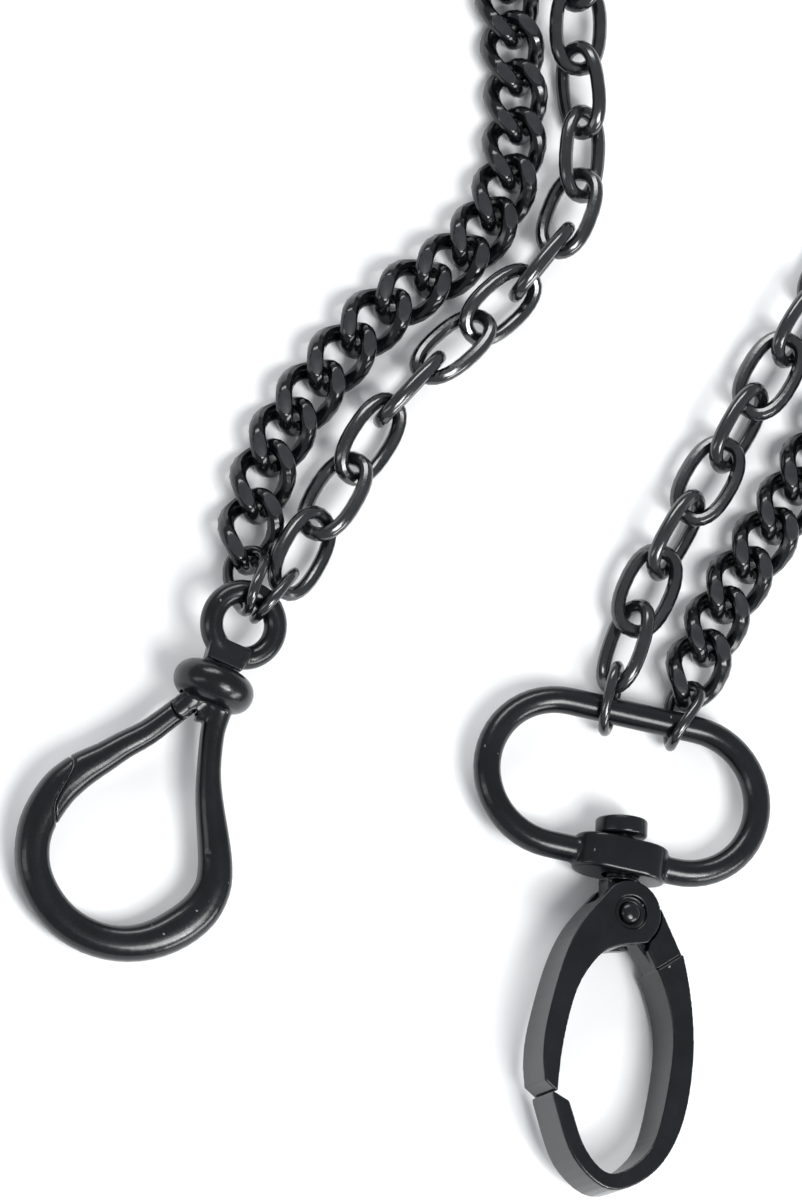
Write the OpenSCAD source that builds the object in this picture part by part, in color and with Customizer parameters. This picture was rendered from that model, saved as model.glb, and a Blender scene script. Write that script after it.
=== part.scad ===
// Double-strand wallet chain with a pear clip at one end and a lever clasp at the other.
// It lies on the plane z = 0. The origin is under the middle of its box, +Z is up.

/* [Curb strand] */
// Outer length of a twisted curb link
curb_length = 9.1; // [8.8:0.1:9.4]
// Outer width of a curb link before it is twisted
curb_width = 6.7; // [6.5:0.1:7]
// Wire diameter of a curb link
curb_wire = 1.7; // [1.4:0.1:1.8]
// Twist of each end of a curb link, in degrees
curb_twist = 62; // [55:1:66]
// Height of a curb link between its two ground flats
curb_height = 3.5; // [3.2:0.1:4]

/* [Cable strand] */
// Outer length of an oval cable link
cable_length = 10.4; // [10:0.1:10.6]
// Outer width of a cable link
cable_width = 6.2; // [6:0.1:6.6]
// Wire diameter of a cable link
cable_wire = 1.45; // [1.2:0.05:1.5]

/* [Pear clip] */
// Wire diameter of the swivel eye
eye_wire = 2.3; // [2:0.1:2.4]
// Centre-line radius of the swivel eye
eye_r = 3.3; // [3.1:0.1:3.4]
// Diameter of the bead that the eye turns in
bead_d = 8.2; // [7.8:0.1:8.4]
// Thickness of the pear's round bottom
pear_wire = 3.5; // [3.2:0.1:3.7]
// Centre-line radius of the pear's round bottom
pear_r = 9.05; // [9:0.05:9.2]

/* [Lever clasp] */
// Wire diameter of the swivel loop
loop_wire = 2.75; // [2.5:0.05:2.8]
// Distance between the centre lines of the loop's two bars
loop_bars = 14.8; // [14:0.1:15.2]
// Length of the loop's straight bars
loop_straight = 13.3; // [13:0.1:14]
// Thickness of the hook's jaws
jaw_thick = 5.2; // [4.8:0.1:5.4]
// Radius of the lever's ears
ear_r = 3.2; // [3:0.1:3.3]

/* [Fits] */
// Gap between turning pieces, on the radius
running = 0.06; // [0.04:0.01:0.1]

/* [Hidden] */
segments = 16;
curbs_each = 4;
cables_each = 3;
function two(k) = str(k < 10 ? "0" : "", k);
$fn = 32;
slack = 0.3;

// Where the layout's own origin lies in the part's frame
home = [-23, -36.5, 0.06];

// The two strands run side by side from the clip, round one bend and back to the clasp.
// A route has two points for each segment of chain. The bend lies between straight runs.
bend_centre = [46.5, 94];
bend_r = 31.5;
bend_offset = 3.6;
bend_steps = 12;
bend_end = -30;
function bend(side, first, z) = [for (i = [0 : bend_steps])
    let (a = first + (bend_end - first) * i / bend_steps, r = bend_r + side * bend_offset)
    [bend_centre.x + r * cos(a), bend_centre.y + r * sin(a), z]];
curb_route = concat(
    [[-16.5, 3, 2.6], [-14, 13.5, 1.75], [-8.5, 22, 1.75], [-1.5, 30, 1.75], [6.5, 36, 1.75],
     [11, 44.5, 1.75], [11.5, 54.5, 1.75], [10.5, 64.5, 1.75], [10.5, 74, 1.75], [11, 84, 1.75]],
    bend(1, 180, 1.75),
    [[72, 68, 1.75], [67.5, 59.5, 1.75], [63, 51, 1.75], [58.5, 42.5, 1.75], [53.5, 34.5, 1.75],
     [49, 26.5, 1.75], [43.5, 18, 1.75], [38.5, 9.5, 1.75], [33, 1, 1.75], [29, -8.3, 2.2]]);
cable_route = concat(
    [[-12.5, 0.5, 3.4], [-7.5, 9.5, 2.8], [-2, 18.5, 3.1], [4.5, 25.5, 3.1], [12, 32.5, 3.2],
     [17, 40, 3.1], [18.5, 50, 2.9], [17.5, 60, 2.9], [19.5, 70, 2.8], [19.5, 80.5, 2.2]],
    bend(-1, 186, 2),
    [[65.5, 71.5, 2], [60.5, 62.5, 2], [55, 54, 2], [50, 45, 2.2], [45, 36, 2.6],
     [39.5, 27.5, 2.8], [34.5, 19, 2.8], [29.5, 10.5, 2.8], [24.5, 1.6, 2.8], [21.4, -7.1, 3]]);

// Roll of each cable link about its own length: neighbours lie crosswise
cable_rolls = concat(
    [25, -33, 28, 88, -34, 25, 85, -35, 32, -58, 5, -55],
    [for (i = [12 : 40]) i % 2 == 0 ? 30 : -30],
    [-50, 8, -50, 8, -54, 4, 60]);

// Point on a smooth curve through the points p, u counting points from 0
function along(p, u) =
    let (i = min(floor(u), len(p) - 2), t = u - i,
         b = p[i], c = p[i + 1],
         a = i > 0 ? p[i - 1] : 2 * b - c,
         d = i + 2 < len(p) ? p[i + 2] : 2 * c - b)
    (2 * b + (c - a) * t + (2 * a - 5 * b + 4 * c - d) * t * t
     + (3 * b - a - 3 * c + d) * t * t * t) / 2;

wire_sides = 6;
link_steps = 12;
link_squareness = 2.4;

// Closed tube of diameter d through the points, flattened beyond z = +-flat.
// Each side of a ring is set by the outline's own normal there.
module closed_tube(points, normals, d, flat) {
    sides = wire_sides;
    n = len(points);
    rings = [for (i = [0 : n - 1])
        let (t = points[(i + 1) % n] - points[(i + n - 1) % n],
             out = cross(t, normals[i]) / norm(cross(t, normals[i])),
             up = cross(out, t) / norm(cross(out, t)))
        for (j = [0 : sides - 1])
            let (q = points[i] + d / 2 * (cos(j * 360 / sides) * out + sin(j * 360 / sides) * up))
            [q.x, q.y, max(-flat, min(flat, q.z))]];
    faces = [for (i = [0 : n - 1], j = [0 : sides - 1])
        let (i2 = (i + 1) % n, j2 = (j + 1) % sides)
        [i * sides + j, i * sides + j2, i2 * sides + j2, i2 * sides + j]];
    polyhedron(rings, faces);
}

function signed_pow(v, e) = sign(v) * pow(abs(v), e);

// Oval link along X: twisted ends when twist is set, ground flat at +-flat
module oval_link(length, width, d, twist, flat) {
    steps = link_steps;
    a = (length - d) / 2;
    b = (width - d) / 2;
    e = 2 / link_squareness;
    turns = [for (i = [0 : steps - 1]) i * 360 / steps];
    points = [for (t = turns)
        let (x = a * signed_pow(cos(t), e), y = b * signed_pow(sin(t), e), roll = -twist * x / a)
        [x, y * cos(roll), y * sin(roll)]];
    normals = [for (t = turns)
        let (roll = -twist * signed_pow(cos(t), e))
        [0, -sin(roll), cos(roll)]];
    closed_tube(points, normals, d, flat);
}

// Puts a link that is modelled along X between two junctions of a route
module between(a, b, roll) {
    v = b - a;
    translate((a + b) / 2)
        rotate([0, -asin(v.z / norm(v)), atan2(v.y, v.x)])
            rotate([roll, 0, 0])
                children();
}

module strand(route, links, first, last) {
    for (i = [first : last]) {
        $link = i;
        between(along(route, i * 2 * segments / links), along(route, (i + 1) * 2 * segments / links), 0)
            children();
    }
}

module curb_links(k) {
    color([0.07, 0.07, 0.08])
        strand(curb_route, segments * curbs_each, (k - 1) * curbs_each, k * curbs_each - 1)
            oval_link(curb_length, curb_width, curb_wire, curb_twist, curb_height / 2);
}

module cable_links(k) {
    color([0.2, 0.2, 0.22])
        strand(cable_route, segments * cables_each, (k - 1) * cables_each, k * cables_each - 1)
            rotate([cable_rolls[$link], 0, 0])
                oval_link(cable_length, cable_width, cable_wire, 0, cable_width);
}

// The clip's own frame: X runs down its swivel axis from the bead, Y to the fixed arm's side
clip_at = [-19.9, -10.5, 4.1];
clip_heading = -111;
clip_slope = 4.4;
module in_clip() {
    translate(clip_at) rotate([0, clip_slope, clip_heading]) children();
}

eye_at = [-6.8, 0.45];
eye_roll = -8;
stem_r = 1.2;
stem_head_r = 1.7;
stem_from = -2.5;
stem_head_from = 0.5;
stem_to = 1;
pocket_from = 0.4;
pocket_to = 1.1;
bead_wire = 3.8;
bead_ring_r = (bead_d - bead_wire) / 2;
neck = [2.4, 4.2, 3.2];
module clip_eye() {
    color([0.1, 0.1, 0.11]) in_clip() {
        translate([eye_at.x, eye_at.y, 0]) rotate([eye_roll, 0, 0])
            rotate_extrude() translate([eye_r, 0]) circle(d = eye_wire);
        translate([-bead_wire / 2 - slack - neck.x, -neck.y / 2, -neck.z / 2]) cube(neck);
        rotate([0, 90, 0]) {
            translate([0, 0, stem_from]) cylinder(r = stem_r, h = stem_to - stem_from);
            translate([0, 0, stem_head_from]) cylinder(r = stem_head_r, h = stem_to - stem_head_from);
        }
    }
}

// Tapered bar between two points of the clip's plane
module bar(a, b, r1, r2) {
    v = b - a;
    translate([a.x, a.y, 0]) rotate([0, 90, atan2(v.y, v.x)]) cylinder(r1 = r1, r2 = r2, h = norm(v));
}

core_r = 2.4;
core_long = 3.6;
arm_root = [1.4, 1];
arm_bend = [8, 2.75];
arm_root_r = 1.35;
arm_r = 1.25;
pear_centre = [18.4, -1.8];
arm_angle = 115;
nose_angle = -124;
arm_end = pear_centre + pear_r * [cos(arm_angle), sin(arm_angle)];
gate_pin_at = [2.9, -1.9];
gate_pin_r = 0.5;
cheek_r = 1.7;
cheek_in = 1.1;
cheek_out = 1.75;
gate_thick = 2.6;
tongue_r = 1.4;
tongue_low = -0.95;
tongue_high = 0.25;
// length of a tool that cuts right through
through = 8;
// The gate's outer edge from the pin to its tip inside the nose, and its inner edge back
gate_outer = [[2.6, -3.2], [3.7, -3.8], [6.2, -5.4], [8.3, -7.2], [10, -8.6], [11.7, -9.8],
    [12.5, -9.6], [14.4, -9.8], [16.6, -10], [17.9, -9.6], [18.6, -9]];
gate_inner = [[18.1, -8.75], [16.4, -8.5], [14.7, -7.7], [11.9, -6.1], [8.9, -4.2], [6.4, -2.5],
    [3.8, -1]];
nose_cut = [[10, -9.95], [12.4, -9.85], [14.4, -10.1], [16.7, -10.3], [18.2, -9.9], [19.1, -9],
    [19.4, -7.5], [15, -5], [10, -5]];

module clip_body() {
    color([0.1, 0.1, 0.11]) in_clip() {
        difference() {
            union() {
                rotate([0, 90, 0]) {
                    rotate_extrude() translate([bead_ring_r, 0]) circle(d = bead_wire);
                    translate([0, 0, -core_long / 2]) cylinder(r = core_r, h = core_long);
                }
                bar(arm_root, arm_bend, arm_root_r, arm_r);
                translate([arm_bend.x, arm_bend.y, 0]) sphere(r = arm_r + 0.05);
                bar(arm_bend, arm_end, arm_r, pear_wire / 2 - 0.05);
                for (side = [-1, 1])
                    translate([0, 0, side * (cheek_in + cheek_out) / 2])
                        linear_extrude(cheek_out - cheek_in, center = true) {
                            translate(gate_pin_at) circle(r = cheek_r);
                            translate([1, gate_pin_at.y - cheek_r]) square([gate_pin_at.x - 1, 2 * cheek_r]);
                        }
            }
            rotate([0, 90, 0]) {
                translate([0, 0, -bead_wire]) cylinder(r = stem_r + running, h = bead_wire + stem_to);
                translate([0, 0, pocket_from])
                    cylinder(r = stem_head_r + running, h = pocket_to - pocket_from);
            }
            translate([gate_pin_at.x, gate_pin_at.y, 0])
                cylinder(r = gate_pin_r + running, h = through, center = true);
            // the bead is hollowed where the gate's tongue turns
            translate([gate_pin_at.x, gate_pin_at.y, 0])
                cylinder(r = cheek_r, h = 2 * cheek_in, center = true);
        }
        difference() {
            translate([pear_centre.x, pear_centre.y, 0]) {
                rotate([0, 0, nose_angle])
                    rotate_extrude(angle = arm_angle - nose_angle)
                        translate([pear_r, 0]) circle(d = pear_wire);
            }
            linear_extrude(through, center = true) polygon(nose_cut);
        }
    }
}

module clip_gate() {
    color([0.12, 0.12, 0.13]) in_clip() difference() {
        union() {
            difference() {
                linear_extrude(gate_thick, center = true) polygon(concat(gate_outer, gate_inner));
                translate([gate_pin_at.x, gate_pin_at.y, tongue_low - through])
                    cylinder(r = cheek_r + slack, h = through);
                translate([gate_pin_at.x, gate_pin_at.y, tongue_high])
                    cylinder(r = cheek_r + slack, h = through);
            }
            translate([gate_pin_at.x, gate_pin_at.y, tongue_low])
                cylinder(r = tongue_r, h = tongue_high - tongue_low);
        }
        translate([gate_pin_at.x, gate_pin_at.y, 0])
            cylinder(r = gate_pin_r + running, h = through, center = true);
    }
}

module clip_gate_pin() {
    color("dimgray") in_clip()
        translate([gate_pin_at.x, gate_pin_at.y, -cheek_out]) cylinder(r = gate_pin_r, h = 2 * cheek_out);
}

gate_spring_z = 0.65;
gate_spring_r = 0.85;
gate_spring_wire = 0.4;
module clip_gate_spring() {
    color("silver") in_clip() translate([gate_pin_at.x, gate_pin_at.y, gate_spring_z])
        rotate_extrude() translate([gate_spring_r, 0]) circle(d = gate_spring_wire);
}

// Small connector ring round a bar at the point a, reaching towards b. Its end at the bar
// stands upright; twist turns the far end to lie across a curb link.
ring_wire = 1;
ring_width = 5.6;
module connector(a, b, reach, length, roll, twist) {
    v = (b - a) / norm(b - a);
    between(a - v * reach, a + v * (length - ring_wire - reach), roll)
        oval_link(length, ring_width, ring_wire, twist, ring_width);
}

// Roll and twist of the rings to the twisted strand, rolls of those to the plain one
clip_curb_roll = 121;
clip_curb_twist = -31;
loop_curb_roll = 105;
loop_curb_twist = -24;
clip_cable_roll = 90;
loop_cable_roll = 68;
clip_ring_lengths = [8.3, 7.4];
loop_ring_length = 7.7;

eye_reach = 1.9;
eye_bar_curb = [-16.7, -1.05, 4.95];
eye_bar_cable = [-14.6, -2.08, 4.65];
module clip_ring_curb() {
    color([0.1, 0.1, 0.11])
        connector(eye_bar_curb, curb_route[0], eye_reach, clip_ring_lengths[0],
            clip_curb_roll, clip_curb_twist);
}

module clip_ring_cable() {
    color([0.1, 0.1, 0.11])
        connector(eye_bar_cable, cable_route[0], eye_reach, clip_ring_lengths[1], clip_cable_roll, 0);
}

// The loop's frame: X along its bars, Y away from the hook
loop_at = [21.93, -18.4, 2.95];
loop_heading = -10;
clasp_slope = 2.5;
module in_loop() {
    translate(loop_at) rotate([-clasp_slope, 0, loop_heading]) children();
}

boss_x = 0.85;
boss = [9.5, 3.5, 5.6];
post_r = 1.3;
post_hole_r = 1.6;
module swivel_loop() {
    color([0.1, 0.1, 0.11]) in_loop() difference() {
        union() {
            for (side = [-1, 1]) {
                translate([side * loop_straight / 2, 0, 0]) rotate([0, 0, -90 * side])
                    rotate_extrude(angle = 180) translate([loop_bars / 2, 0]) circle(d = loop_wire);
                translate([0, side * loop_bars / 2, 0]) rotate([0, 90, 0])
                    cylinder(d = loop_wire, h = loop_straight, center = true);
            }
            translate([boss_x, -loop_bars / 2, 0]) rotate([90, 0, 0])
                linear_extrude(boss.y, center = true) {
                    square([boss.x - boss.z, boss.z], center = true);
                    for (side = [-1, 1])
                        translate([side * (boss.x - boss.z) / 2, 0]) circle(d = boss.z);
                }
        }
        translate([boss_x, -loop_bars / 2, 0]) rotate([90, 0, 0])
            cylinder(r = post_hole_r, h = through, center = true);
    }
}

loop_reach = 2.15;
loop_bar_curb = [27.75, -11.91, 2.65];
loop_bar_cable = [20.65, -10.66, 2.65];
module loop_ring_curb() {
    color([0.1, 0.1, 0.11])
        connector(loop_bar_curb, curb_route[len(curb_route) - 1], loop_reach, loop_ring_length,
            loop_curb_roll, loop_curb_twist);
}

module loop_ring_cable() {
    color([0.1, 0.1, 0.11])
        connector(loop_bar_cable, cable_route[len(cable_route) - 1], loop_reach, loop_ring_length,
            loop_cable_roll, 0);
}

// The hook's frame: -Y runs down its swivel post, X across the jaws, Z out of their face
hook_at = [21.5, -25.7, 3.3];
hook_heading = -4;
hook_roll = 8;
module in_hook() {
    translate(hook_at) rotate([-clasp_slope, 0, hook_heading]) rotate([0, hook_roll, 0]) children();
}

rivet_at = [0.4, -5.9];
rivet_r = 1;
ear_in = 1.4;
lug_low = -1.25;
lug_high = 1.25;
spring_seat_r = 2.2;
spring_seat_z = 0.3;
// Edges of the fixed jaw, from the pivot round to its tip and back
jaw_outer = [[3.4, -4.2], [6.3, -9.6], [7.8, -17.8], [7.1, -25.8], [4.3, -31.2], [-0.3, -33.6],
    [-4.4, -31], [-6.7, -25.8], [-7, -24.6]];
jaw_inner = [[-5.2, -25.4], [-3.2, -29.9], [-0.4, -32], [2.9, -30], [4.6, -26.5], [5.6, -18.5],
    [4.4, -13], [1.8, -8.6]];
// The jaw is cut back to its thin lug inside this outline
step_cut = [[3.2, -11.5], [6.9, -8.8], [9, -8], [9, 0], [-4, 0], [-4, -8], [1.5, -11.5]];
lug_r = 2.9;
pad_high = 2.1;
pad_gap = 0.3;
pad_edge = [[3.5, -4.4], [6.3, -9.4], [6.6, -10.2], [4, -12.2], [3.4, -10.6], [2.6, -9.4]];
lug_edge = [[-1.7, -2.3], [1.7, -2.3], [3.4, -4.2], [6.3, -9.4], [6.6, -10.2], [4, -12.2],
    [3.4, -10.6], [1.4, -8.3], [-1.4, -8]];
// Edges of the lever, from its ear down to the tip and back
lever_outer = [[-2.3, -4.2], [-4.8, -7.5], [-6.5, -11.5], [-7.9, -17.5], [-8.2, -21], [-7.9, -23.7]];
lever_inner = [[-6.5, -24.7], [-6.1, -19.6], [-4.9, -14.2], [-2.8, -10.7], [-0.7, -9.4], [2.8, -8.2]];
// Corner of the slot that lets the lever's heel pass the lug
heel_cut = [0.3, -9.9];
rivet_proud = 0.3;
lever_spring_z = 0.8;
lever_spring_r = 1.65;
lever_spring_wire = 0.5;
edge_steps = 4;
function smooth(p, steps) = [for (i = [0 : steps * (len(p) - 1)]) along(p, i / steps)];

post_head_r = 2.6;
post_head_from = -3.9;
post_head_high = 1.75;
post_to = 2.2;
collar_r = 2;
collar_high = 0.35;
module swivel_post() {
    color([0.1, 0.1, 0.11]) in_hook() rotate([90, 0, 0]) {
        translate([0, 0, post_head_from]) cylinder(r = post_head_r, h = post_head_high);
        translate([0, 0, post_head_from]) cylinder(r = post_r, h = post_to - post_head_from);
    }
}

module hook_body() {
    color([0.1, 0.1, 0.11]) in_hook() difference() {
        union() {
            rotate([90, 0, 0]) translate([0, 0, post_to]) cylinder(r = collar_r, h = collar_high);
            difference() {
                linear_extrude(jaw_thick, center = true)
                    polygon(concat(smooth(jaw_outer, edge_steps), smooth(jaw_inner, edge_steps)));
                linear_extrude(through, center = true) polygon(step_cut);
            }
            translate([0, 0, lug_low]) linear_extrude(lug_high - lug_low) {
                translate(rivet_at) circle(r = lug_r);
                polygon(lug_edge);
            }
            // past the ear the lug rises to a pad
            difference() {
                linear_extrude(pad_high) polygon(pad_edge);
                translate([rivet_at.x, rivet_at.y, -through / 2])
                    cylinder(r = ear_r + pad_gap, h = through);
            }
        }
        translate([rivet_at.x, rivet_at.y, spring_seat_z]) cylinder(r = spring_seat_r, h = jaw_thick);
        translate([rivet_at.x, rivet_at.y, 0])
            cylinder(r = rivet_r + running, h = through, center = true);
    }
}

module hook_lever() {
    color([0.1, 0.1, 0.11]) in_hook() difference() {
        linear_extrude(jaw_thick, center = true) {
            translate(rivet_at) circle(r = ear_r);
            polygon(concat(smooth(lever_outer, edge_steps), smooth(lever_inner, edge_steps)));
        }
        translate([rivet_at.x, rivet_at.y, 0]) cylinder(r = ear_r + 0.1, h = 2 * ear_in, center = true);
        translate([heel_cut.x, heel_cut.y, -ear_in]) cube([5, 5, 2 * ear_in]);
        translate([rivet_at.x, rivet_at.y, 0])
            cylinder(r = rivet_r + running, h = through, center = true);
    }
}

module lever_rivet() {
    color("dimgray") in_hook() translate([rivet_at.x, rivet_at.y, 0])
        cylinder(r = rivet_r, h = jaw_thick + 2 * rivet_proud, center = true);
}

module lever_spring() {
    color("silver") in_hook() translate([rivet_at.x, rivet_at.y, lever_spring_z])
        rotate_extrude() translate([lever_spring_r, 0]) circle(d = lever_spring_wire);
}

translate(home) {
    clip_eye();
    clip_body();
    clip_gate();
    clip_gate_pin();
    clip_gate_spring();
    clip_ring_curb();
    clip_ring_cable();
    for (k = [1 : segments]) {
        curb_links(k);
        cable_links(k);
    }
    loop_ring_curb();
    loop_ring_cable();
    swivel_loop();
    swivel_post();
    hook_body();
    hook_lever();
    lever_rivet();
    lever_spring();
}
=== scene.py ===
from math import asin, atan2, cos, pi, radians, sin, tan

import bmesh
import bpy
from mathutils import Matrix, Vector


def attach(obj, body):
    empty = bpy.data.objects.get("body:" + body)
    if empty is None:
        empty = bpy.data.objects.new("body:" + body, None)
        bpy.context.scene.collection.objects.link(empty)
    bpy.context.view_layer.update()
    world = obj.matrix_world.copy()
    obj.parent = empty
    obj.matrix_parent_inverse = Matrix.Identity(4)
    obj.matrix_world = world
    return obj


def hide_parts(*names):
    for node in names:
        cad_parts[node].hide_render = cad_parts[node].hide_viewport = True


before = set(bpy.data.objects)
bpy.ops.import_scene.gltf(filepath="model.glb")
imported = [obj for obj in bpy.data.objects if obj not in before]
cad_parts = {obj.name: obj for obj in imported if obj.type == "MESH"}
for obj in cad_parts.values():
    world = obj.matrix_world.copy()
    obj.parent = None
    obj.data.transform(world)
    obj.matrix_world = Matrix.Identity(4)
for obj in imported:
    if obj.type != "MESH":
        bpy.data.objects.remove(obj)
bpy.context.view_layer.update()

# Everything below is worked out in millimetres on the layout's own origin.
home = Vector((-23, -36.5, 0.06))
toRow = Matrix.Diagonal((0.001, 0.001, 0.001, 1)) @ Matrix.Translation(home)


def turn(degrees, axis):
    return Matrix.Rotation(radians(degrees), 4, axis)


def along(points, u):
    # smooth curve through the points, u counts points from 0
    i = min(int(u), len(points) - 2)
    t = u - i
    b, c = Vector(points[i]), Vector(points[i + 1])
    a = Vector(points[i - 1]) if i > 0 else 2 * b - c
    d = Vector(points[i + 2]) if i + 2 < len(points) else 2 * c - b
    return (2 * b + (c - a) * t + (2 * a - 5 * b + 4 * c - d) * t ** 2
            + (3 * b - a - 3 * c + d) * t ** 3) / 2


def smoothLine(points, steps):
    return [along(points, i / steps) for i in range(steps * (len(points) - 1) + 1)]


def station(point, ahead, flatNormal, halfWidth, halfHeight):
    # place of one ring of a tube: X across, Y along flatNormal, Z ahead
    t = Vector(ahead).normalized()
    out = t.cross(Vector(flatNormal)).normalized()
    up = out.cross(t).normalized()
    m = Matrix((out * halfWidth, up * halfHeight, t)).transposed().to_4x4()
    m.translation = point
    return m


def sweepTube(bm, stations, sides, closed=False, squareness=2.0):
    # a ring is extruded from station to station
    first = bmesh.ops.create_circle(bm, segments=sides, radius=1)["verts"]
    for v in first:
        for k in (0, 1):
            v.co[k] = abs(v.co[k]) ** (2 / squareness) * (1 if v.co[k] > 0 else -1)
    bmesh.ops.transform(bm, matrix=stations[0], verts=first)
    edges = list({e for v in first for e in v.link_edges})
    made = set(first)
    ends = [edges]
    last = stations[0]
    for here in stations[1:] + ([stations[0]] if closed else []):
        grown = bmesh.ops.extrude_edge_only(bm, edges=edges)["geom"]
        verts = {g for g in grown if isinstance(g, bmesh.types.BMVert)}
        edges = [g for g in grown if isinstance(g, bmesh.types.BMEdge)
                 and g.verts[0] in verts and g.verts[1] in verts]
        bmesh.ops.transform(bm, matrix=here @ last.inverted(), verts=list(verts))
        made |= verts
        last = here
    ends.append(edges)
    if closed:
        bmesh.ops.remove_doubles(bm, verts=list(made), dist=0.001)
    else:
        for loop in ends:
            bmesh.ops.contextual_create(bm, geom=loop)
    return [v for v in made if v.is_valid]


def prism(bm, outline, low, high):
    verts = [bm.verts.new((p[0], p[1], low)) for p in outline]
    face = bm.faces.new(verts)
    grown = bmesh.ops.extrude_face_region(bm, geom=[face])["geom"]
    top = [g for g in grown if isinstance(g, bmesh.types.BMVert)]
    bmesh.ops.translate(bm, vec=(0, 0, high - low), verts=top)
    return verts + top


def drum(bm, radius, low, high, matrix=Matrix(), sides=48):
    made = bmesh.ops.create_cone(
        bm, cap_ends=True, segments=sides, radius1=radius, radius2=radius, depth=high - low,
        matrix=matrix @ Matrix.Translation((0, 0, (low + high) / 2)))
    return made["verts"]


def arc(centre, radius, start, end, steps):
    turns = [radians(start + (end - start) * i / steps) for i in range(steps + 1)]
    return [(centre[0] + radius * cos(t), centre[1] + radius * sin(t)) for t in turns]


def flatLine(points, steps):
    return [(p.x, p.y) for p in smoothLine([p + (0,) for p in points], steps)]


def joinIn(bm, other):
    mesh = bpy.data.meshes.new("joined")
    other.to_mesh(mesh)
    other.free()
    bm.from_mesh(mesh)
    bpy.data.meshes.remove(mesh)


def softEdges(bm, width, segments, over=40):
    bmesh.ops.recalc_face_normals(bm, faces=bm.faces)
    sharp = [e for e in bm.edges if len(e.link_faces) == 2 and e.calc_face_angle() > radians(over)]
    bmesh.ops.bevel(bm, geom=sharp, offset=width, offset_type="OFFSET", affect="EDGES",
                    segments=segments, profile=0.5, material=-1, clamp_overlap=True)


def asObject(bm, name="working"):
    mesh = bpy.data.meshes.new(name)
    bm.to_mesh(mesh)
    obj = bpy.data.objects.new(name, mesh)
    bpy.context.scene.collection.objects.link(obj)
    return obj


def modified(obj):
    # the object's mesh with its modifiers applied, as a new bmesh; the object goes
    ready = obj.evaluated_get(bpy.context.evaluated_depsgraph_get())
    out = bmesh.new()
    out.from_mesh(ready.to_mesh())
    ready.to_mesh_clear()
    mesh = obj.data
    bpy.data.objects.remove(obj)
    bpy.data.meshes.remove(mesh)
    return out


def cutBy(bm, cutter, operation):
    bmesh.ops.recalc_face_normals(bm, faces=bm.faces)
    bmesh.ops.recalc_face_normals(cutter, faces=cutter.faces)
    body, tool = asObject(bm), asObject(cutter, "cutter")
    bm.free()
    cutter.free()
    mod = body.modifiers.new("cut", "BOOLEAN")
    mod.object, mod.operation, mod.solver = tool, operation, "EXACT"
    mod.use_self = True
    out = modified(body)
    bpy.data.objects.remove(tool)
    return out


def castSkin(bm, voxel, rounds):
    # overlapping solids become one skin with small fillets, as a die casting has
    bmesh.ops.recalc_face_normals(bm, faces=bm.faces)
    body = asObject(bm)
    bm.free()
    mod = body.modifiers.new("skin", "REMESH")
    mod.mode, mod.voxel_size, mod.use_smooth_shade = "VOXEL", voxel, True
    out = modified(body)
    for _ in range(rounds):
        bmesh.ops.smooth_vert(out, verts=out.verts, factor=0.5,
                              use_axis_x=True, use_axis_y=True, use_axis_z=True)
    return out


def finishPiece(name, bm, place, finish, body, nodes, smoothOver=35):
    bmesh.ops.transform(bm, matrix=toRow @ place, verts=bm.verts)
    bmesh.ops.recalc_face_normals(bm, faces=bm.faces)
    mesh = bpy.data.meshes.new(name)
    bm.to_mesh(mesh)
    bm.free()
    for material in finish:
        mesh.materials.append(material)
    mesh.shade_smooth()
    mesh.set_sharp_from_angle(angle=radians(smoothOver))
    obj = bpy.data.objects.new(name, mesh)
    bpy.context.scene.collection.objects.link(obj)
    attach(obj, body)
    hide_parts(*nodes)
    return obj


lacquer = {          # satin black on the cast clips
    "dark": (0.0022, 0.0027, 0.0036, 1), "light": (0.0055, 0.0064, 0.0082, 1), "specular": 0.42,
    "roughLow": 0.18, "roughHigh": 0.27, "grain": 0.22, "cloud": 3.5,
    "bump": 0.006, "worn": (0.16, 0.165, 0.17, 1), "wornAmount": 0.735,
}
glossBlack = {       # plated wire of the twisted links
    "dark": (0.0015, 0.0018, 0.0025, 1), "light": (0.0045, 0.005, 0.0062, 1), "specular": 0.5,
    "roughLow": 0.12, "roughHigh": 0.2, "grain": 0.3, "cloud": 2.2,
    "bump": 0.008, "worn": (0.12, 0.12, 0.13, 1), "wornAmount": 0.76,
}
groundFlat = {       # faces ground flat on the twisted links
    "dark": (0.0075, 0.0085, 0.0105, 1), "light": (0.015, 0.0165, 0.0195, 1), "specular": 0.45,
    "roughLow": 0.38, "roughHigh": 0.52, "grain": 0.12, "cloud": 1.2,
    "bump": 0.004, "worn": (0.1, 0.1, 0.11, 1), "wornAmount": 0.8,
}
glossWire = {        # plated wire of the plain links and the small rings
    "dark": (0.004, 0.0046, 0.0056, 1), "light": (0.011, 0.012, 0.014, 1), "specular": 1.0,
    "roughLow": 0.13, "roughHigh": 0.21, "grain": 0.25, "cloud": 1.8,
    "bump": 0.007, "worn": (0.16, 0.16, 0.17, 1), "wornAmount": 0.76,
}
springWire = {
    "dark": (0.05, 0.05, 0.052, 1), "light": (0.12, 0.12, 0.125, 1), "specular": 0.5,
    "roughLow": 0.22, "roughHigh": 0.35, "grain": 0.1, "cloud": 0.8,
    "bump": 0.003, "worn": (0.2, 0.2, 0.2, 1), "wornAmount": 0.8,
}


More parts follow.
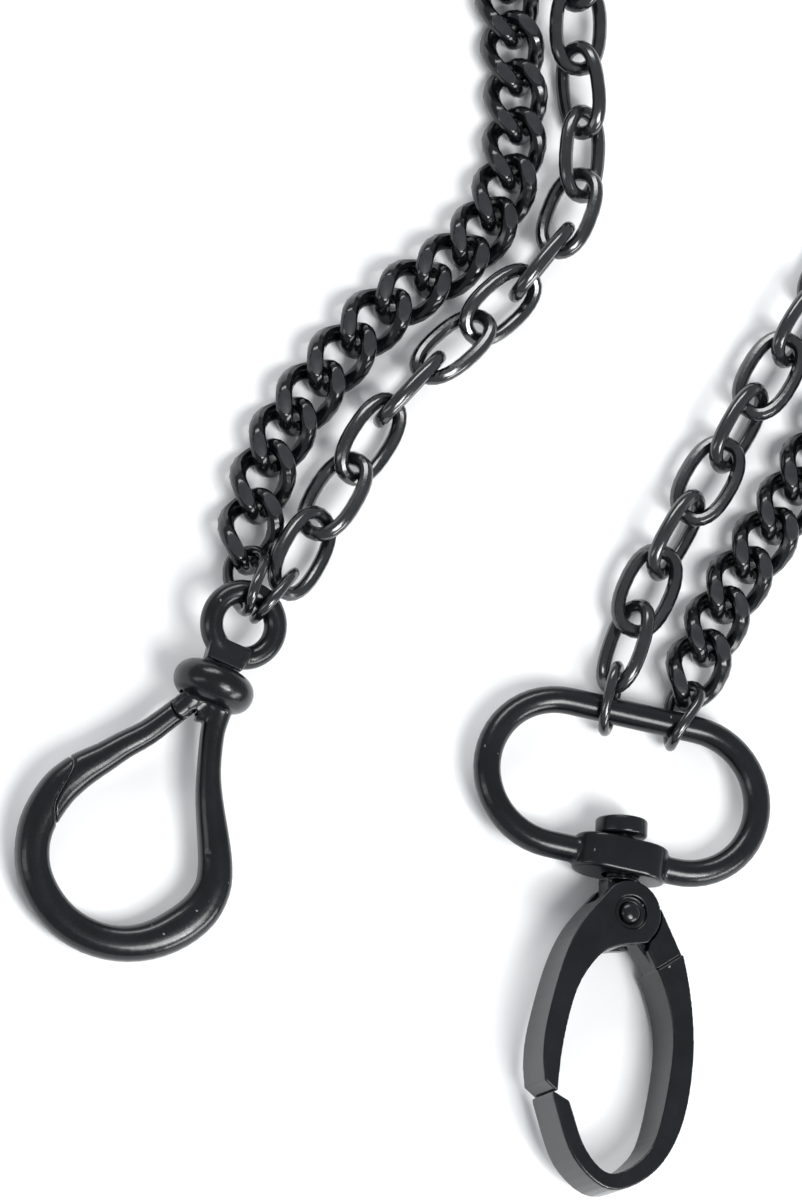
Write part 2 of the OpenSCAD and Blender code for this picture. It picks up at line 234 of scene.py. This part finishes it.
def makeFinish(name, look):
    material = bpy.data.materials.new(name)
    material.use_nodes = True
    tree = material.node_tree
    tree.nodes.clear()

    def node(kind, **values):
        n = tree.nodes.new(kind)
        for key, value in values.items():
            setattr(n, key, value)
        return n

    link = tree.links.new
    out = node("ShaderNodeOutputMaterial")
    shader = node("ShaderNodeBsdfPrincipled")
    shader.inputs["Specular IOR Level"].default_value = look["specular"]
    link(shader.outputs[0], out.inputs[0])
    place = node("ShaderNodeTexCoord").outputs["Object"]

    def noise(size, detail):
        n = node("ShaderNodeTexNoise")
        n.inputs["Scale"].default_value = 1000 / size      # size in mm
        n.inputs["Detail"].default_value = detail
        link(place, n.inputs["Vector"])
        return n.outputs["Fac"]

    cloud = noise(look["cloud"], 3)
    grain = noise(look["grain"], 2)
    specks = noise(look["grain"] * 4, 4)

    tone = node("ShaderNodeValToRGB")
    tone.color_ramp.elements[0].position = 0.35
    tone.color_ramp.elements[0].color = look["dark"]
    tone.color_ramp.elements[1].position = 0.7
    tone.color_ramp.elements[1].color = look["light"]
    link(cloud, tone.inputs["Fac"])

    worn = node("ShaderNodeMapRange")
    worn.inputs["From Min"].default_value = look["wornAmount"]
    worn.inputs["From Max"].default_value = look["wornAmount"] + 0.03
    link(specks, worn.inputs["Value"])
    mix = node("ShaderNodeMix", data_type="RGBA")
    mix.inputs["B"].default_value = look["worn"]
    link(worn.outputs["Result"], mix.inputs["Factor"])
    link(tone.outputs["Color"], mix.inputs["A"])
    link(mix.outputs["Result"], shader.inputs["Base Color"])

    rough = node("ShaderNodeMapRange")
    rough.inputs["From Min"].default_value = 0.3
    rough.inputs["From Max"].default_value = 0.7
    rough.inputs["To Min"].default_value = look["roughLow"]
    rough.inputs["To Max"].default_value = look["roughHigh"]
    link(grain, rough.inputs["Value"])
    link(rough.outputs["Result"], shader.inputs["Roughness"])

    waves = node("ShaderNodeBump")
    waves.inputs["Strength"].default_value = 1
    waves.inputs["Distance"].default_value = look["bump"] * 0.001 * 3
    link(cloud, waves.inputs["Height"])
    bump = node("ShaderNodeBump")
    bump.inputs["Strength"].default_value = 1
    bump.inputs["Distance"].default_value = look["bump"] * 0.001 * 0.35
    link(grain, bump.inputs["Height"])
    link(waves.outputs["Normal"], bump.inputs["Normal"])
    link(bump.outputs["Normal"], shader.inputs["Normal"])
    return material


satinBlack = makeFinish("satinBlackLacquer", lacquer)
curbBlack = makeFinish("glossBlackPlate", glossBlack)
curbFlat = makeFinish("groundFlatFace", groundFlat)
wireBlack = makeFinish("glossBlackWire", glossWire)
springSteel = makeFinish("springWire", springWire)
print("finishes made")

view = {
    "leanX": 14, "leanY": 12.5,     # degrees that the view leans towards -X and -Y
    "distance": 600,                # mm from the layout's origin
    "tall": 119.4,                  # mm across the picture's long side there
}


def makeCamera():
    look = Vector((-tan(radians(view["leanX"])), -tan(radians(view["leanY"])), 1)).normalized()
    right = Vector((0, 1, 0)).cross(look).normalized()
    up = look.cross(right)
    data = bpy.data.cameras.new("camera")
    data.lens = data.sensor_width * view["distance"] / view["tall"]
    data.clip_start, data.clip_end = 0.01, 10
    data.dof.use_dof = False
    obj = bpy.data.objects.new("camera", data)
    place = Matrix((right, up, look)).transposed().to_4x4()
    place.translation = (home + look * view["distance"]) * 0.001
    obj.matrix_world = place
    bpy.context.scene.collection.objects.link(obj)
    bpy.context.scene.camera = obj


lights = {           # place and aim in mm from the layout's origin, size in mm, power in watts
    "key": {"at": (160, -260, 480), "aim": (0, 0, 0), "size": (230, 230), "power": 2.5},
    "glint": {"at": (230, -300, 420), "aim": (0, 0, 0), "size": (55, 55), "power": 0.4},
    "side": {"at": (330, -340, 170), "aim": (0, 0, 0), "size": (300, 120), "power": 1.1},
    "back": {"at": (-60, 430, 330), "aim": (0, 0, 0), "size": (360, 140), "power": 1.3},
    "left": {"at": (-430, -60, 260), "aim": (0, 0, 0), "size": (110, 320), "power": 0.3},
}
surround = {"color": (0.92, 0.965, 1, 1), "strength": 0.42}


def makeLights():
    for name, lamp in lights.items():
        data = bpy.data.lights.new(name, "AREA")
        data.shape = "RECTANGLE"
        data.size, data.size_y = lamp["size"][0] * 0.001, lamp["size"][1] * 0.001
        data.energy = lamp["power"]
        obj = bpy.data.objects.new(name, data)
        obj.location = (home + Vector(lamp["at"])) * 0.001
        way = Vector(lamp["aim"]) - Vector(lamp["at"])
        obj.rotation_euler = way.to_track_quat("-Z", "Y").to_euler()
        bpy.context.scene.collection.objects.link(obj)
    world = bpy.data.worlds.new("studio")
    world.use_nodes = True
    background = world.node_tree.nodes["Background"]
    background.inputs["Color"].default_value = surround["color"]
    background.inputs["Strength"].default_value = surround["strength"]
    bpy.context.scene.world = world
    bpy.context.scene.view_settings.view_transform = "Standard"


floorLook = {"half": 1.5, "color": (0.9, 0.905, 0.91, 1), "roughness": 0.75}


def makeFloor():
    bm = bmesh.new()
    bmesh.ops.create_grid(bm, x_segments=2, y_segments=2, size=floorLook["half"])
    mesh = bpy.data.meshes.new("floor")
    bm.to_mesh(mesh)
    bm.free()
    material = bpy.data.materials.new("palePaper")
    material.use_nodes = True
    shader = material.node_tree.nodes["Principled BSDF"]
    shader.inputs["Base Color"].default_value = floorLook["color"]
    shader.inputs["Roughness"].default_value = floorLook["roughness"]
    mesh.materials.append(material)
    obj = bpy.data.objects.new("floor", mesh)
    bpy.context.scene.collection.objects.link(obj)


makeCamera()
makeLights()
makeFloor()
print("camera, lights and floor set")

segments = 16
curb = {"length": 9.1, "width": 6.7, "wire": 1.7, "twist": 62, "low": -1.75, "high": 1.88, "each": 4,
        "sides": 12, "steps": 32}
cable = {"length": 10.4, "width": 6.2, "wire": 1.45, "each": 3,
         "sides": 12, "steps": 28}
bend = {"centre": (46.5, 94), "radius": 31.5, "offset": 3.6, "steps": 12, "end": -30}


def bendPoints(side, first, z):
    r = bend["radius"] + side * bend["offset"]
    turns = [radians(first + (bend["end"] - first) * i / bend["steps"])
             for i in range(bend["steps"] + 1)]
    return [(bend["centre"][0] + r * cos(a), bend["centre"][1] + r * sin(a), z) for a in turns]


curbRoute = (
    [(-16.5, 3, 2.6), (-14, 13.5, 1.75), (-8.5, 22, 1.75), (-1.5, 30, 1.75), (6.5, 36, 1.75),
     (11, 44.5, 1.75), (11.5, 54.5, 1.75), (10.5, 64.5, 1.75), (10.5, 74, 1.75), (11, 84, 1.75)]
    + bendPoints(1, 180, 1.75)
    + [(72, 68, 1.75), (67.5, 59.5, 1.75), (63, 51, 1.75), (58.5, 42.5, 1.75), (53.5, 34.5, 1.75),
       (49, 26.5, 1.75), (43.5, 18, 1.75), (38.5, 9.5, 1.75), (33, 1, 1.75), (29, -8.3, 2.2)])
cableRoute = (
    [(-12.5, 0.5, 3.4), (-7.5, 9.5, 2.8), (-2, 18.5, 3.1), (4.5, 25.5, 3.1), (12, 32.5, 3.2),
     (17, 40, 3.1), (18.5, 50, 2.9), (17.5, 60, 2.9), (19.5, 70, 2.8), (19.5, 80.5, 2.2)]
    + bendPoints(-1, 186, 2)
    + [(65.5, 71.5, 2), (60.5, 62.5, 2), (55, 54, 2), (50, 45, 2.2), (45, 36, 2.6),
       (39.5, 27.5, 2.8), (34.5, 19, 2.8), (29.5, 10.5, 2.8), (24.5, 1.6, 2.8), (21.4, -7.1, 3)])
cableRolls = ([25, -33, 28, 88, -34, 25, 85, -35, 32, -58, 5, -55]
              + [30 if i % 2 == 0 else -30 for i in range(12, 41)]
              + [-50, 8, -50, 8, -54, 4, 60])


def linkStations(length, width, wire, twist, steps):
    # an oval along X; its two ends are turned opposite ways by twist
    a, b, power = (length - wire) / 2, (width - wire) / 2, 2 / 2.4

    def bent(value):
        return abs(value) ** power * (1 if value > 0 else -1)

    turns = [2 * pi * (i + 0.5) / steps for i in range(steps)]
    rolls = [radians(-twist) * bent(cos(t)) for t in turns]
    points = [Vector((a * bent(cos(t)), b * bent(sin(t)) * cos(r), b * bent(sin(t)) * sin(r)))
              for t, r in zip(turns, rolls)]
    return [station(points[i], points[(i + 1) % steps] - points[i - 1],
                    (0, -sin(r), cos(r)), wire / 2, wire / 2)
            for i, r in enumerate(rolls)]


def between(start, end, roll):
    way = end - start
    return (Matrix.Translation((start + end) / 2) @ Matrix.Rotation(atan2(way.y, way.x), 4, "Z")
            @ Matrix.Rotation(-asin(way.z / way.length), 4, "Y") @ turn(roll, "X"))


def wireLink(length, width, wire, twist, steps, sides):
    bm = bmesh.new()
    sweepTube(bm, linkStations(length, width, wire, twist, steps), sides, closed=True)
    return bm


def curbLink():
    bm = wireLink(curb["length"], curb["width"], curb["wire"], curb["twist"],
                  curb["steps"], curb["sides"])
    for height, face in ((curb["low"], -1), (curb["high"], 1)):      # grind both sides flat
        cut = bmesh.ops.bisect_plane(
            bm, geom=bm.verts[:] + bm.edges[:] + bm.faces[:], dist=0.0001,
            plane_co=(0, 0, height), plane_no=(0, 0, face), clear_outer=True)
        rim = [g for g in cut["geom_cut"] if isinstance(g, bmesh.types.BMEdge)]
        for flat in bmesh.ops.holes_fill(bm, edges=rim, sides=0)["faces"]:
            flat.material_index = 1
    return bm


def makeStrand(title, nodePrefix, look, route, rolls, linkShape, finish):
    one = bpy.data.meshes.new(title + "Link")
    linkShape.to_mesh(one)
    linkShape.free()
    count = segments * look["each"]
    for k in range(segments):
        bm = bmesh.new()
        for i in range(k * look["each"], (k + 1) * look["each"]):
            old = set(bm.verts)
            bm.from_mesh(one)
            place = between(along(route, i * 2 * segments / count),
                            along(route, (i + 1) * 2 * segments / count), rolls[i])
            bmesh.ops.transform(bm, matrix=place, verts=[v for v in bm.verts if v not in old])
        number = "%02d" % (k + 1)
        piece = finishPiece(title + number, bm, Matrix(), finish, "chain_" + number,
                            [nodePrefix + number], smoothOver=30)


makeStrand("curb", "curb_links_", curb, curbRoute, [0] * segments * curb["each"],
           curbLink(), [curbBlack, curbFlat])
makeStrand("cable", "cable_links_", cable, cableRoute, cableRolls,
           wireLink(cable["length"], cable["width"], cable["wire"], 0,
                    cable["steps"], cable["sides"]), [wireBlack])
print("strands made")

ring = {"wire": 1.08, "width": 5.6, "steps": 28, "sides": 12}
rings = {            # node: bar point, chain end, reach behind the bar, length, roll, twist, body
    "clip_ring_curb": ((-16.7, -1.05, 4.95), curbRoute[0], 1.9, 8.3, 121, -31, "clip_rings"),
    "clip_ring_cable": ((-14.6, -2.08, 4.65), cableRoute[0], 1.9, 7.4, 90, 0, "clip_rings"),
    "loop_ring_curb": ((27.75, -11.91, 2.65), curbRoute[-1], 2.15, 7.7, 105, -24, "loop_rings"),
    "loop_ring_cable": ((20.65, -10.66, 2.65), cableRoute[-1], 2.15, 7.7, 68, 0, "loop_rings"),
}
for node, (bar, end, reach, length, roll, twist, body) in rings.items():
    way = (Vector(end) - Vector(bar)).normalized()
    place = between(Vector(bar) - way * reach,
                    Vector(bar) + way * (length - ring["wire"] - reach), roll)
    piece = finishPiece(node.replace("_", "-"), wireLink(length, ring["width"], ring["wire"], twist,
                                                         ring["steps"], ring["sides"]),
                        place, [wireBlack], body, [node])
print("rings made")

clip = {
    "at": (-19.9, -10.5, 4.1), "heading": -111, "slope": 4.4,
    "eyeAt": (-6.8, 0.45), "eyeRadius": 3.3, "eyeWire": 2.3, "eyeRoll": -8,
    "beadDiameter": 8.2, "beadWire": 3.8,
    "pin": (2.9, -1.9), "pinRadius": 0.5, "voxel": 0.12, "parting": 0.04, "forkEnd": 1.42, "crotchRounds": 24,
}
clipPlace = (Matrix.Translation(clip["at"]) @ turn(clip["heading"], "Z") @ turn(clip["slope"], "Y"))
alongX = turn(90, "Y")

# centre line of the hoop, x and y, with half its width and half its thickness
fixedArm = [(-0.6, 0.9, 1.5, 1.5), (1.2, 1.25, 1.4, 1.5), (3, 1.45, 1.25, 1.4), (4.75, 1.75, 1.18, 1.35),
            (7.85, 2.7, 1.18, 1.35), (10.55, 3.85, 1.35, 1.42), (14.45, 5.95, 1.6, 1.6),
            (16.6, 6.95, 1.7, 1.7), (18.5, 7.4, 1.8, 1.78), (20.9, 7.05, 1.95, 1.8),
            (23.4, 5.65, 1.98, 1.8), (25.6, 3.5, 1.85, 1.8), (27, 0.8, 1.75, 1.78),
            (27.45, -2.1, 1.72, 1.75), (27, -5, 1.73, 1.75), (25.6, -7.6, 1.74, 1.75),
            (23.6, -9.5, 1.7, 1.75), (21.1, -10.6, 1.7, 1.75), (18.5, -10.85, 1.8, 1.75),
            (15.6, -10.3, 1.86, 1.7), (13.8, -9.5, 1.8, 1.65), (12.4, -8.6, 1.7, 1.6),
            (10.75, -7.3, 1.5, 1.5)]
gateArm = [(20.6, -10.7, 1.7, 1.72), (18.5, -10.85, 1.8, 1.72), (15.6, -10.3, 1.86, 1.67),
           (13.8, -9.5, 1.82, 1.62), (12.4, -8.6, 1.7, 1.57), (10.75, -7.3, 1.5, 1.48),
           (8.95, -6, 1.36, 1.4), (6.85, -4.3, 1.26, 1.35), (4.6, -2.95, 1.18, 1.3),
           (2.9, -1.95, 1.15, 1.25), (2.3, -1.62, 0.95, 1.1)]
forkArm = [(-0.6, -0.7, 1.5, 1.5), (1.2, -1.2, 1.42, 1.46), (2.9, -1.95, 1.28, 1.4),
           (4.6, -2.95, 1.2, 1.36), (6.85, -4.3, 1.2, 1.3)]
crotch = [(0.9, -1.7), (2.7, -1.2), (3.5, -0.85), (3.85, -0.35), (3.7, 0.25), (3.1, 1), (0.9, 1.5)]
seam = [(11.2, -11.6), (12, -10.35), (12.9, -9.85), (14.4, -9.95), (16.6, -10.15), (17.9, -9.8),
        (18.7, -9), (18.95, -7.6)]


def hoop(bm, rows, steps):
    line = smoothLine([row[:2] + (0,) for row in rows], steps)
    sizes = smoothLine([(row[2], row[3], 0) for row in rows], steps)
    stations = []
    for i, point in enumerate(line):
        ahead = line[min(i + 1, len(line) - 1)] - line[max(i - 1, 0)]
        stations.append(station(point, ahead, (0, 0, 1), sizes[i].x, sizes[i].y))
    sweepTube(bm, stations, 24, squareness=2.35)


gateBack = [(19, -4), (9, 1), (-3, 1), (-3, -12)]       # round the whole gate
noseBack = [(19, -5), (10, -5), (9.5, -12)]             # round the gate's tip only


def gateSide(shift, back):
    # everything on the gate's side of the seam between gate and nose
    bm = bmesh.new()
    edge = [(p.x + shift, p.y - shift) for p in smoothLine([p + (0,) for p in seam], 4)]
    prism(bm, edge + back, -4, 4)
    return bm


def partingLine(bm, height):
    # the fine ridge that a casting keeps where its mould halves met
    bmesh.ops.recalc_face_normals(bm, faces=bm.faces)
    bm.normal_update()
    reach = clip["voxel"] * 0.8
    moves = [(v, v.normal * height * (1 - abs(v.co.z) / reach)) for v in bm.verts
             if abs(v.co.z) < reach and abs(v.normal.z) < 0.4]
    for v, move in moves:
        v.co += move


def makeEye():
    bm = bmesh.new()
    turns = [2 * pi * i / 48 for i in range(48)]
    r = clip["eyeRadius"]
    sweepTube(bm, [station((r * cos(t), r * sin(t), 0), (-sin(t), cos(t), 0), (0, 0, 1),
                           clip["eyeWire"] / 2, clip["eyeWire"] / 2 + 0.05) for t in turns],
              20, closed=True)
    bmesh.ops.transform(bm, matrix=Matrix.Translation(clip["eyeAt"] + (0,))
                        @ turn(clip["eyeRoll"], "X"), verts=bm.verts)
    neck = bmesh.ops.create_cube(bm, size=1)["verts"]
    bmesh.ops.transform(bm, matrix=Matrix.Translation((-3.4, 0, 0)) @ Matrix.Diagonal((2.4, 3.7, 2.7, 1)),
                        verts=neck)
    for v in neck:
        if v.co.x < -3.4:
            v.co.y *= 1.15
    bm = castSkin(bm, 0.13, 4)
    drum(bm, 1.2, -2.5, 0.6, alongX, 32)
    drum(bm, 1.7, 0.5, 1, alongX, 32)
    return bm


def makeClipBody():
    bm = bmesh.new()
    hoop(bm, fixedArm, 3)
    bm = cutBy(bm, gateSide(0.08, noseBack), "DIFFERENCE")
    r = (clip["beadDiameter"] - clip["beadWire"]) / 2
    turns = [2 * pi * i / 48 for i in range(48)]
    sweepTube(bm, [station((0, r * cos(t), r * sin(t)), (0, -sin(t), cos(t)), (1, 0, 0),
                           clip["beadWire"] / 2, clip["beadWire"] / 2) for t in turns],
              24, closed=True)
    drum(bm, r + 0.4, -1.6, 1.75, alongX)
    # a fork of the gate's own section carries it, rounded off round the pin
    fork = bmesh.new()
    hoop(fork, forkArm, 3)
    beyond = bmesh.new()
    prism(beyond, arc(clip["pin"], clip["forkEnd"], 60, -120, 18) + [(-2, -9), (9, -9), (9, 3), (4, 3)], -4, 4)
    fork = cutBy(fork, beyond, "DIFFERENCE")
    web = bmesh.new()
    prism(web, flatLine(crotch, 4), -1, 1)
    softEdges(web, 0.45, 4, over=50)
    joinIn(fork, web)
    joinIn(bm, fork)
    slot = bmesh.new()
    drum(slot, clip["forkEnd"] + 0.15, -0.85, 0.85, Matrix.Translation(clip["pin"] + (0,)))
    bm = cutBy(bm, slot, "DIFFERENCE")
    dimple = bmesh.new()
    bmesh.ops.create_uvsphere(dimple, u_segments=24, v_segments=12, radius=0.5,
                              matrix=Matrix.Translation((15.7, 5.35, 1.8)))
    bm = cutBy(bm, dimple, "DIFFERENCE")
    bm = castSkin(bm, clip["voxel"], 5)
    # the crotch between the arms is flowed together a little more
    crotchVerts = [v for v in bm.verts if 1.5 < v.co.x < 3.9 and -2.2 < v.co.y < 1.9
                   and abs(v.co.z) > 0.6 and (v.co.x - clip["pin"][0]) < (v.co.y - clip["pin"][1]) * 1.2]
    for _ in range(clip["crotchRounds"]):
        bmesh.ops.smooth_vert(bm, verts=crotchVerts, factor=0.5,
                              use_axis_x=True, use_axis_y=True, use_axis_z=True)
    partingLine(bm, clip["parting"])
    return bm


def makeGate():
    bm = bmesh.new()
    hoop(bm, gateArm, 3)
    bm = cutBy(bm, gateSide(-0.07, gateBack), "INTERSECT")
    for side in (1, -1):      # thin the root to a tongue that fits the fork
        cheek = bmesh.new()
        low, high = sorted((side * 0.7, side * 3))
        drum(cheek, clip["forkEnd"] + 0.07, low, high, Matrix.Translation(clip["pin"] + (0,)))
        bm = cutBy(bm, cheek, "DIFFERENCE")
    bm = castSkin(bm, 0.12, 2)
    partingLine(bm, clip["parting"])
    return bm


def coil(bm, centre, radius, wire, low, turnsCount):
    # wire spring: a ring spun up its own axis
    start = bmesh.ops.create_circle(bm, segments=10, radius=wire / 2)["verts"]
    bmesh.ops.transform(bm, matrix=Matrix.Translation((centre[0] + radius, centre[1], low))
                        @ turn(90, "X"), verts=start)
    edges = list({e for v in start for e in v.link_edges})
    steps = int(24 * turnsCount)
    spun = bmesh.ops.spin(bm, geom=start + edges, cent=(centre[0], centre[1], 0), axis=(0, 0, 1),
                          dvec=(0, 0, turnsCount * wire * 1.15 / steps), angle=2 * pi * turnsCount,
                          steps=steps, use_duplicate=False)
    bmesh.ops.contextual_create(bm, geom=edges)
    last = [g for g in spun["geom_last"] if isinstance(g, bmesh.types.BMEdge)]
    bmesh.ops.contextual_create(bm, geom=last)


piece = finishPiece("clipEye", makeEye(), clipPlace, [satinBlack], "eye", ["clip_eye"], 60)
piece = finishPiece("clipBody", makeClipBody(), clipPlace, [satinBlack], "clip", ["clip_body"], 60)
piece = finishPiece("clipGate", makeGate(), clipPlace, [satinBlack], "gate", ["clip_gate"], 60)
bm = bmesh.new()
drum(bm, clip["pinRadius"], -1.3, 1.3, Matrix.Translation(clip["pin"] + (0,)), 24)
softEdges(bm, 0.08, 2)
piece = finishPiece("clipGatePin", bm, clipPlace, [satinBlack], "clip", ["clip_gate_pin"])
bm = bmesh.new()
coil(bm, clip["pin"], 1.2, 0.12, 0.72, 0.85)
piece = finishPiece("clipGateSpring", bm, clipPlace, [springSteel], "clip", ["clip_gate_spring"])
print("pear clip made")

clasp = {
    "loopAt": (21.93, -18.4, 2.95), "loopHeading": -10, "slope": 2.5,
    "loopWire": 2.75, "bars": 14.8, "straight": 13.3,
    "bossX": 0.85, "boss": (9.5, 3.5, 5.6), "holeRadius": 1.6,
    "hookAt": (21.5, -25.7, 3.3), "hookHeading": -4, "hookRoll": 8,
    "rivet": (0.4, -5.9), "earRadius": 3.2, "thick": 5.2, "voxel": 0.14,
}
loopPlace = (Matrix.Translation(clasp["loopAt"]) @ turn(clasp["loopHeading"], "Z")
             @ turn(-clasp["slope"], "X"))
hookPlace = (Matrix.Translation(clasp["hookAt"]) @ turn(clasp["hookHeading"], "Z")
             @ turn(-clasp["slope"], "X") @ turn(clasp["hookRoll"], "Y"))
alongY = turn(90, "X")      # Z of a drum turns to -Y, down the hook


def makeLoop():
    bm = bmesh.new()
    half, r, wire = clasp["straight"] / 2, clasp["bars"] / 2, clasp["loopWire"] / 2
    spots = []
    for side in (1, -1):
        for i in range(25):
            t = radians(-90 + 180 * i / 24) + (0 if side > 0 else pi)
            spots.append((Vector((side * half + r * cos(t), r * sin(t), 0)), (-sin(t), cos(t), 0)))
        for i in range(1, 8):
            x = side * (half - 2 * half * i / 8)
            spots.append((Vector((x, side * r, 0)), (-side, 0, 0)))
    sweepTube(bm, [station(p, ahead, (0, 0, 1), wire, wire) for p, ahead in spots], 24, closed=True)
    wide, deep, high = clasp["boss"]
    turns = [radians(-90 + 180 * i / 24) for i in range(25)]
    oval = ([((wide - high) / 2 + high / 2 * cos(t), high / 2 * sin(t)) for t in turns]
            + [(-(wide - high) / 2 - high / 2 * cos(t), -high / 2 * sin(t)) for t in turns])
    boss = bmesh.new()
    prism(boss, oval, -deep / 2, deep / 2)
    softEdges(boss, 0.25, 3, over=50)
    bmesh.ops.transform(boss, matrix=Matrix.Translation((clasp["bossX"], -r, 0)) @ alongY,
                        verts=boss.verts)
    joinIn(bm, boss)
    bm = castSkin(bm, clasp["voxel"], 5)
    hole = bmesh.new()
    drum(hole, clasp["holeRadius"], -4, 4, Matrix.Translation((clasp["bossX"], -r, 0)) @ alongY)
    return cutBy(bm, hole, "DIFFERENCE")


jawOuter = [(3.4, -4.2), (6.3, -9.6), (7.8, -17.8), (7.1, -25.8), (4.3, -31.2), (-0.3, -33.6),
            (-4.4, -31), (-6.7, -25.8), (-7, -24.6)]
jawInner = [(-5.2, -25.4), (-3.2, -29.9), (-0.4, -32), (2.9, -30), (4.6, -26.5), (5.6, -18.5),
            (4.4, -13), (1.8, -8.6)]
padOutline = [(3.5, -4.4), (6.3, -9.4), (6.6, -10.2), (4, -12.2), (3.4, -10.6), (2.6, -9.4)]
lugOutline = [(-1.7, -2.3), (1.7, -2.3), (3.4, -4.2), (6.3, -9.4), (6.6, -10.2), (4, -12.2),
              (3.4, -10.6), (1.4, -8.3), (-1.4, -8)]
leverOuter = [(-7.9, -23.7), (-8.2, -21), (-7.9, -17.5), (-6.5, -11.5), (-4.8, -7.5), (-2.3, -4.2)]
leverInner = [(2.75, -8.1), (2.1, -8.75), (-0.7, -9.4), (-2.8, -10.7), (-4.9, -14.2), (-6.1, -19.6),
              (-6.5, -24.7)]


def makePost():
    bm = bmesh.new()
    drum(bm, 2.6, -3.9, -2.15, alongY)
    softEdges(bm, 0.28, 3)
    drum(bm, 1.3, -2.3, 2.3, alongY)
    return bm


def makeHook():
    bm = bmesh.new()
    prism(bm, flatLine(jawOuter, 5) + flatLine(jawInner, 5), -clasp["thick"] / 2, clasp["thick"] / 2)
    step = bmesh.new()        # the jaw is cut back to a thin lug above this line
    prism(step, [(3.2, -11.5), (6.9, -8.8), (9, -8), (9, 0), (-4, 0), (-4, -8), (1.5, -11.5)], -4, 4)
    bm = cutBy(bm, step, "DIFFERENCE")
    bmesh.ops.dissolve_limit(bm, angle_limit=radians(1), verts=bm.verts, edges=bm.edges)
    softEdges(bm, 0.6, 4, over=50)
    lug = bmesh.new()
    prism(lug, lugOutline, -1.25, 1.25)
    drum(lug, 2.9, -1.25, 1.25, Matrix.Translation(clasp["rivet"] + (0,)))
    drum(lug, 2, 2.2, 2.55, alongY)
    pad = bmesh.new()         # past the ear the lug rises
    prism(pad, padOutline, 0, 2.1)
    ear = bmesh.new()
    drum(ear, clasp["earRadius"] + 0.3, -4, 4, Matrix.Translation(clasp["rivet"] + (0,)))
    pad = cutBy(pad, ear, "DIFFERENCE")
    seat = bmesh.new()
    drum(seat, 2.2, 0.3, 2, Matrix.Translation(clasp["rivet"] + (0,)))
    lug = cutBy(lug, seat, "DIFFERENCE")
    joinIn(bm, lug)
    joinIn(bm, pad)
    bm = castSkin(bm, 0.12, 2)
    hole = bmesh.new()
    drum(hole, 1.06, -4, 4, Matrix.Translation(clasp["rivet"] + (0,)))
    return cutBy(bm, hole, "DIFFERENCE")


def makeLever():
    bm = bmesh.new()
    outline = flatLine(leverInner, 4) + flatLine(leverOuter, 4) + arc(
        clasp["rivet"], clasp["earRadius"], 132, -40, 18)
    prism(bm, outline, -clasp["thick"] / 2, clasp["thick"] / 2)
    bmesh.ops.recalc_face_normals(bm, faces=bm.faces)
    outer = {(round(x, 3), round(y, 3)) for x, y in flatLine(leverOuter, 4)[1:]}
    broad = [e for e in bm.edges if all(
        v.co.z > 0 and (round(v.co.x, 3), round(v.co.y, 3)) in outer for v in e.verts)]
    bmesh.ops.bevel(bm, geom=broad, offset=1.1, offset_type="OFFSET", affect="EDGES",
                    segments=4, profile=0.5, material=-1, clamp_overlap=True)
    softEdges(bm, 0.35, 3, over=40)
    slot = bmesh.new()
    drum(slot, 3.3, -1.4, 1.4, Matrix.Translation(clasp["rivet"] + (0,)))
    prism(slot, [(0.3, -9.9), (5.3, -9.9), (5.3, -4.9), (0.3, -4.9)], -1.39, 1.39)
    bm = cutBy(bm, slot, "DIFFERENCE")
    for face in (1, -1):      # ring recess round each rivet head
        recess = bmesh.new()
        low, high = sorted((face * (clasp["thick"] / 2 - 0.4), face * 4))
        drum(recess, 1.68, low, high, Matrix.Translation(clasp["rivet"] + (0,)))
        bm = cutBy(bm, recess, "DIFFERENCE")
    hole = bmesh.new()
    drum(hole, 1.06, -4, 4, Matrix.Translation(clasp["rivet"] + (0,)))
    bm = cutBy(bm, hole, "DIFFERENCE")
    return castSkin(bm, 0.11, 1)


def makeRivet():
    bm = bmesh.new()
    drum(bm, 1, -2.4, 2.4, Matrix.Translation(clasp["rivet"] + (0,)))
    for face in (1, -1):
        dome = bmesh.ops.create_uvsphere(bm, u_segments=32, v_segments=16, radius=1.08)["verts"]
        bmesh.ops.transform(bm, matrix=Matrix.Translation(clasp["rivet"] + (face * 2.3,))
                            @ Matrix.Diagonal((1, 1, 0.55, 1)), verts=dome)
    return bm


for name, shape, place, body, node, slotName in (
        ("swivelLoop", makeLoop(), loopPlace, "loop", "swivel_loop", "clasp"),
        ("swivelPost", makePost(), hookPlace, "hook", "swivel_post", "clasp"),
        ("hookBody", makeHook(), hookPlace, "hook", "hook_body", "clasp"),
        ("hookLever", makeLever(), hookPlace, "lever", "hook_lever", "clasp"),
        ("leverRivet", makeRivet(), hookPlace, "hook", "lever_rivet", "pins")):
    piece = finishPiece(name, shape, place, [satinBlack], body, [node], 50)
bm = bmesh.new()
coil(bm, clasp["rivet"], 1.6, 0.3, 0.65, 1.5)
piece = finishPiece("leverSpring", bm, hookPlace, [springSteel], "hook", ["lever_spring"])
print("loop and clasp made")
